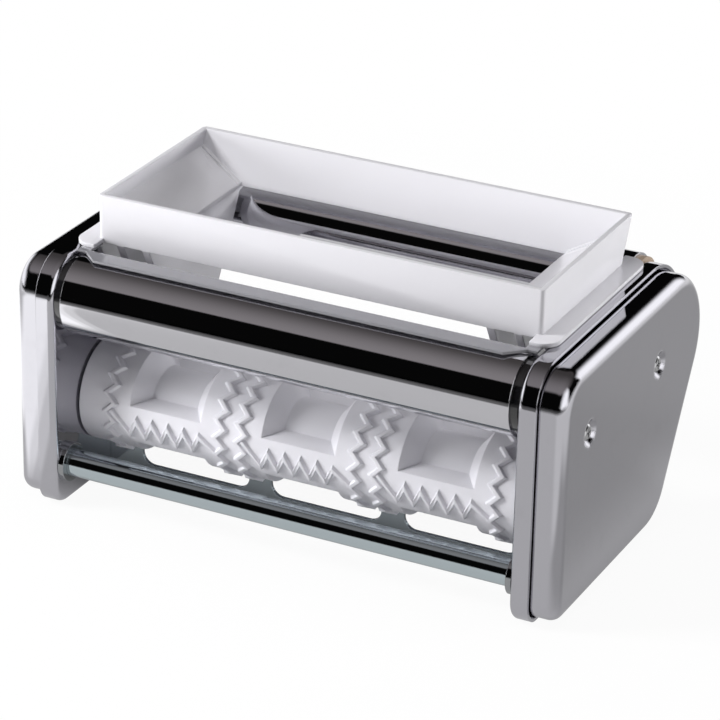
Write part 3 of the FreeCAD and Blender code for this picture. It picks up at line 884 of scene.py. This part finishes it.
@dataclass(frozen=True)
class DimRoom:
    """The room round the table.

    The eye sees it white. It is dark, with a grey roof, and mirrored rays also see
    three bright cards in it. Spans are parts of a direction, from -1 to 1.
    """

    name: str = "dim_room"
    dark: Colour = (0.003, 0.003, 0.003)
    front_roof: Colour = (0.30, 0.28, 0.285)
    back_roof: Colour = (0.07, 0.064, 0.063)
    roof_fade: Span = (-0.60, 0.50)
    roof_edge: Span = (0.685, 0.715)
    card: Colour = (1.6, 1.6, 1.62)

    # The card behind the machine, to the right.
    behind_start: Span = (0.05, 0.30)
    behind_end: Span = (0.59, 0.65)
    behind_deep: Span = (0.1, 0.4)
    behind_top: Span = (0.40, 0.62)

    # The card on the right, to the front.
    right_start: Span = (0.45, 0.62)
    right_front: Span = (0.02, 0.12)
    right_top: Span = (0.66, 0.80)

    # The card on the left.
    left_start: Span = (0.66, 0.84)
    left_top: Span = (0.30, 0.60)

    def build(self) -> None:
        """Makes the room and puts it round the scene."""
        world = bpy.data.worlds.new(self.name)
        bpy.context.scene.world = world
        world.use_nodes = True
        graph = Graph(world.node_tree)
        way = graph.node("ShaderNodeTexCoord", out="Generated", kind=Kind.VECTOR)
        across, deep, height = (graph.part_of(way, axis) for axis in Axis)
        to_left, to_front = 0.0 - across, 0.0 - deep
        roof = graph.mix(deep.between(*self.roof_fade), self.front_roof, self.back_roof)
        shade = graph.mix(height.between(*self.roof_edge), self.dark, roof)
        behind = (across.between(*self.behind_start) * across.until(*self.behind_end)
                  * deep.between(*self.behind_deep) * height.until(*self.behind_top))
        right = (across.between(*self.right_start) * to_front.between(*self.right_front)
                 * height.until(*self.right_top))
        left = to_left.between(*self.left_start) * height.until(*self.left_top)
        cards = (behind | right | left) * graph.is_ray(Ray.GLOSSY)
        shade = graph.mix(cards, shade, self.card)
        shade = graph.mix(graph.is_ray(Ray.CAMERA), shade, WHITE)
        ground = graph.node("ShaderNodeBackground", None, {"Color": shade, "Strength": 1.0})
        graph.node("ShaderNodeOutputWorld", None, {"Surface": ground})


@dataclass(frozen=True)
class StudioCamera:
    """The camera, by its angles in degrees and its lengths in metres."""

    name: str = "studio_camera"
    azimuth: float = 26.2267
    elevation: float = 25.0102
    roll: float = 1.1678
    distance: float = 1.150798
    aim: Place = (0.0, -0.0065, 0.051)
    slide: tuple[float, float] = (0.002619, 0.001284)
    focal_pixels: float = 3437.066
    frame_pixels: float = 720.0
    sensor_width: float = 36.0
    clip: Span = (0.05, 60.0)

    def stand(self) -> None:
        """Stands the camera off the right front corner, above the rim of the hopper."""
        turn, tip, roll = (math.radians(a) for a in (self.azimuth, self.elevation, self.roll))
        back = Vector((math.sin(turn) * math.cos(tip), -math.cos(turn) * math.cos(tip),
                       math.sin(tip)))
        right = Vector((math.cos(turn), math.sin(turn), 0.0))
        up = back.cross(right)
        across = math.cos(roll) * right + math.sin(roll) * up
        upright = math.cos(roll) * up - math.sin(roll) * right
        data = bpy.data.cameras.new(self.name)
        data.lens = self.focal_pixels / self.frame_pixels * self.sensor_width
        data.sensor_width = self.sensor_width
        data.clip_start, data.clip_end = self.clip
        camera = bpy.data.objects.new(self.name, data)
        where = (Vector(self.aim) + back * self.distance + across * self.slide[0]
                 + upright * self.slide[1])
        turned = Matrix((across, upright, back)).transposed().to_4x4()
        camera.matrix_world = Matrix.Translation(where) @ turned
        bpy.context.scene.collection.objects.link(camera)
        bpy.context.scene.camera = camera


@dataclass
class Studio:
    """The table, the room, the soft lamps and the camera."""

    table: PaleTable = PaleTable()
    room: DimRoom = DimRoom()
    lamps: tuple[SoftBox, ...] = (
        SoftBox("key_box", (-1.27, -0.74, 1.18), (0.0, 0.0, 0.05), (0.5, 0.5), 25.0),
        SoftBox("low_box", (-0.45, -0.32, 0.14), (0.0, 0.0, 0.06), (0.16, 0.16), 1.45),
        SoftBox("front_fill", (0.9, -1.4, 0.45), (0.0, 0.0, 0.05), (1.0, 0.6), 1.2),
        SoftBox("roof_fill", (0.1, 0.1, 1.9), (0.0, 0.0, 0.05), (1.6, 1.6), 13.0),
        SoftBox("right_fill", (1.1, 0.6, 0.16), (0.0, 0.0, 0.07), (0.4, 0.14), 9.5),
    )
    camera: StudioCamera = StudioCamera()

    def build(self) -> list[bpy.types.Object]:
        """Sets up the studio.

        Returns:
            The table top.
        """
        table = self.table.lay()
        self.room.build()
        for lamp in self.lamps:
            lamp.hang()
        self.camera.stand()
        bpy.context.scene.view_settings.view_transform = "Standard"
        return [table]


def main() -> None:
    """Builds and dresses each sub-assembly, then the studio, and logs what each adds."""
    logging.basicConfig(level=logging.INFO, format="%(name)s: %(message)s")
    for assembly in (SideFrames(), GuideTubes(), TieRods(), LowerGuides(), MouldRollers(),
                     GearTrain(), FillingHopper()):
        for piece in assembly.build():
            log.info("%s adds %s with %d faces", type(assembly).__name__, piece.name,
                     len(piece.data.polygons))
        assembly.dress()
        log.info("%s is dressed", type(assembly).__name__)
    for piece in Studio().build():
        log.info("Studio adds %s", piece.name)


if __name__ == "__main__":
    main()
